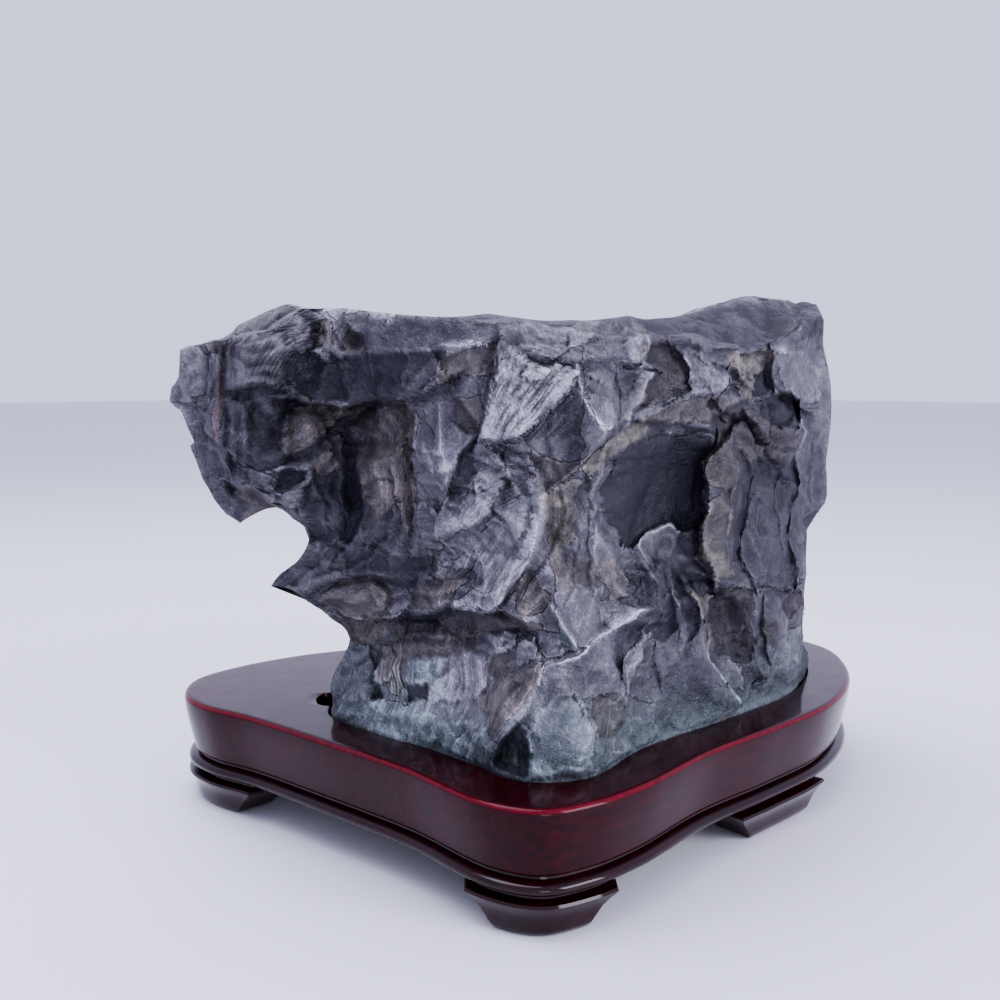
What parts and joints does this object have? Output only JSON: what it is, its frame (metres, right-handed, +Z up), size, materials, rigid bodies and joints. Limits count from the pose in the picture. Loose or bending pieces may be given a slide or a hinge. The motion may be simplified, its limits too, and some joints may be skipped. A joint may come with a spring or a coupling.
{
  "type": "viewing stone",
  "caption": "Craggy dark decorative stone with an overhanging head, resting in the carved seat of a low lacquered wooden stand on small feet.",
  "frame": {"origin": "middle of the whole object's footprint, on the surface that the feet stand on", "axes": "+X along the stand's length, away from the stone's overhanging head; +Y across the stand, away from the stone's carved front; +Z up"},
  "size_m": [0.1286, 0.0946, 0.0911],
  "materials": {
    "rock": "matt, craggy, dusty on its edges",
    "lacquered_wood": "glossy dark red lacquer",
    "dark_lacquered_wood": "glossy near-black lacquer"
  },
  "bodies": {
    "root": {"stone": "rock", "stand_top_board": "lacquered_wood", "stand_bead_board": "dark_lacquered_wood", "foot_front": "dark_lacquered_wood", "foot_right_front": "dark_lacquered_wood", "foot_right_end": "dark_lacquered_wood", "foot_back": "dark_lacquered_wood", "foot_left": "dark_lacquered_wood"}
  },
  "joints": []
}
